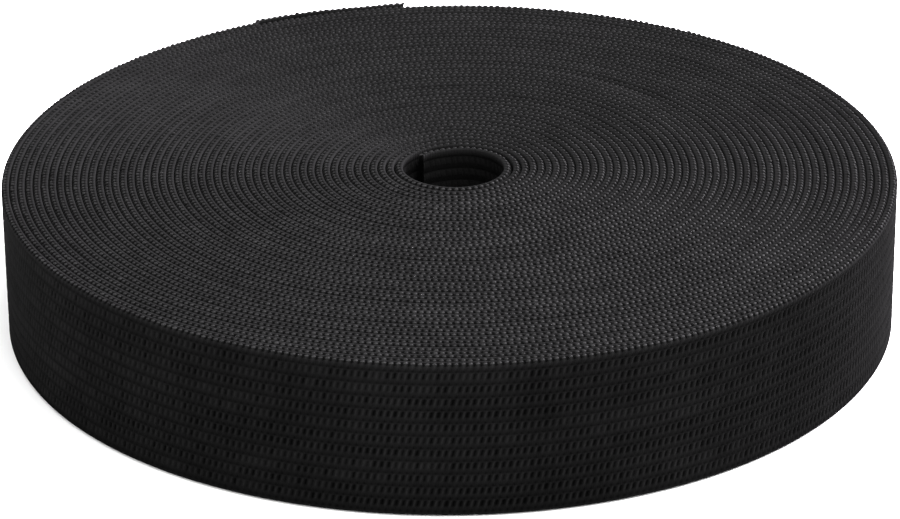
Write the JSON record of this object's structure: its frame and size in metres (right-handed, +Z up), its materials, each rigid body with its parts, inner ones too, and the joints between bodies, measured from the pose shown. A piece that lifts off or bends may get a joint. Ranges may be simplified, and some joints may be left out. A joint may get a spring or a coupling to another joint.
{
  "type": "roll of knitted elastic tape",
  "caption": "Flat-wound roll of black knitted elastic tape with no core, lying on its side, its loose outer and inner ends standing a little off the winding.",
  "frame": {"origin": "middle of the roll's width and depth, on the flat underside that it rests on", "axes": "+Z up along the axis that the tape is wound about; +X from the hole towards the right side of the picture's view; the loose outer end is at the back, towards +Y"},
  "size_m": [0.1432, 0.1439, 0.025],
  "materials": {
    "elastic_tape": "matt black warp knit with a selvedge of small loops along both edges"
  },
  "bodies": {
    "root": {"wound_roll": "elastic_tape", "outer_end": "elastic_tape", "inner_end": "elastic_tape"}
  },
  "joints": []
}
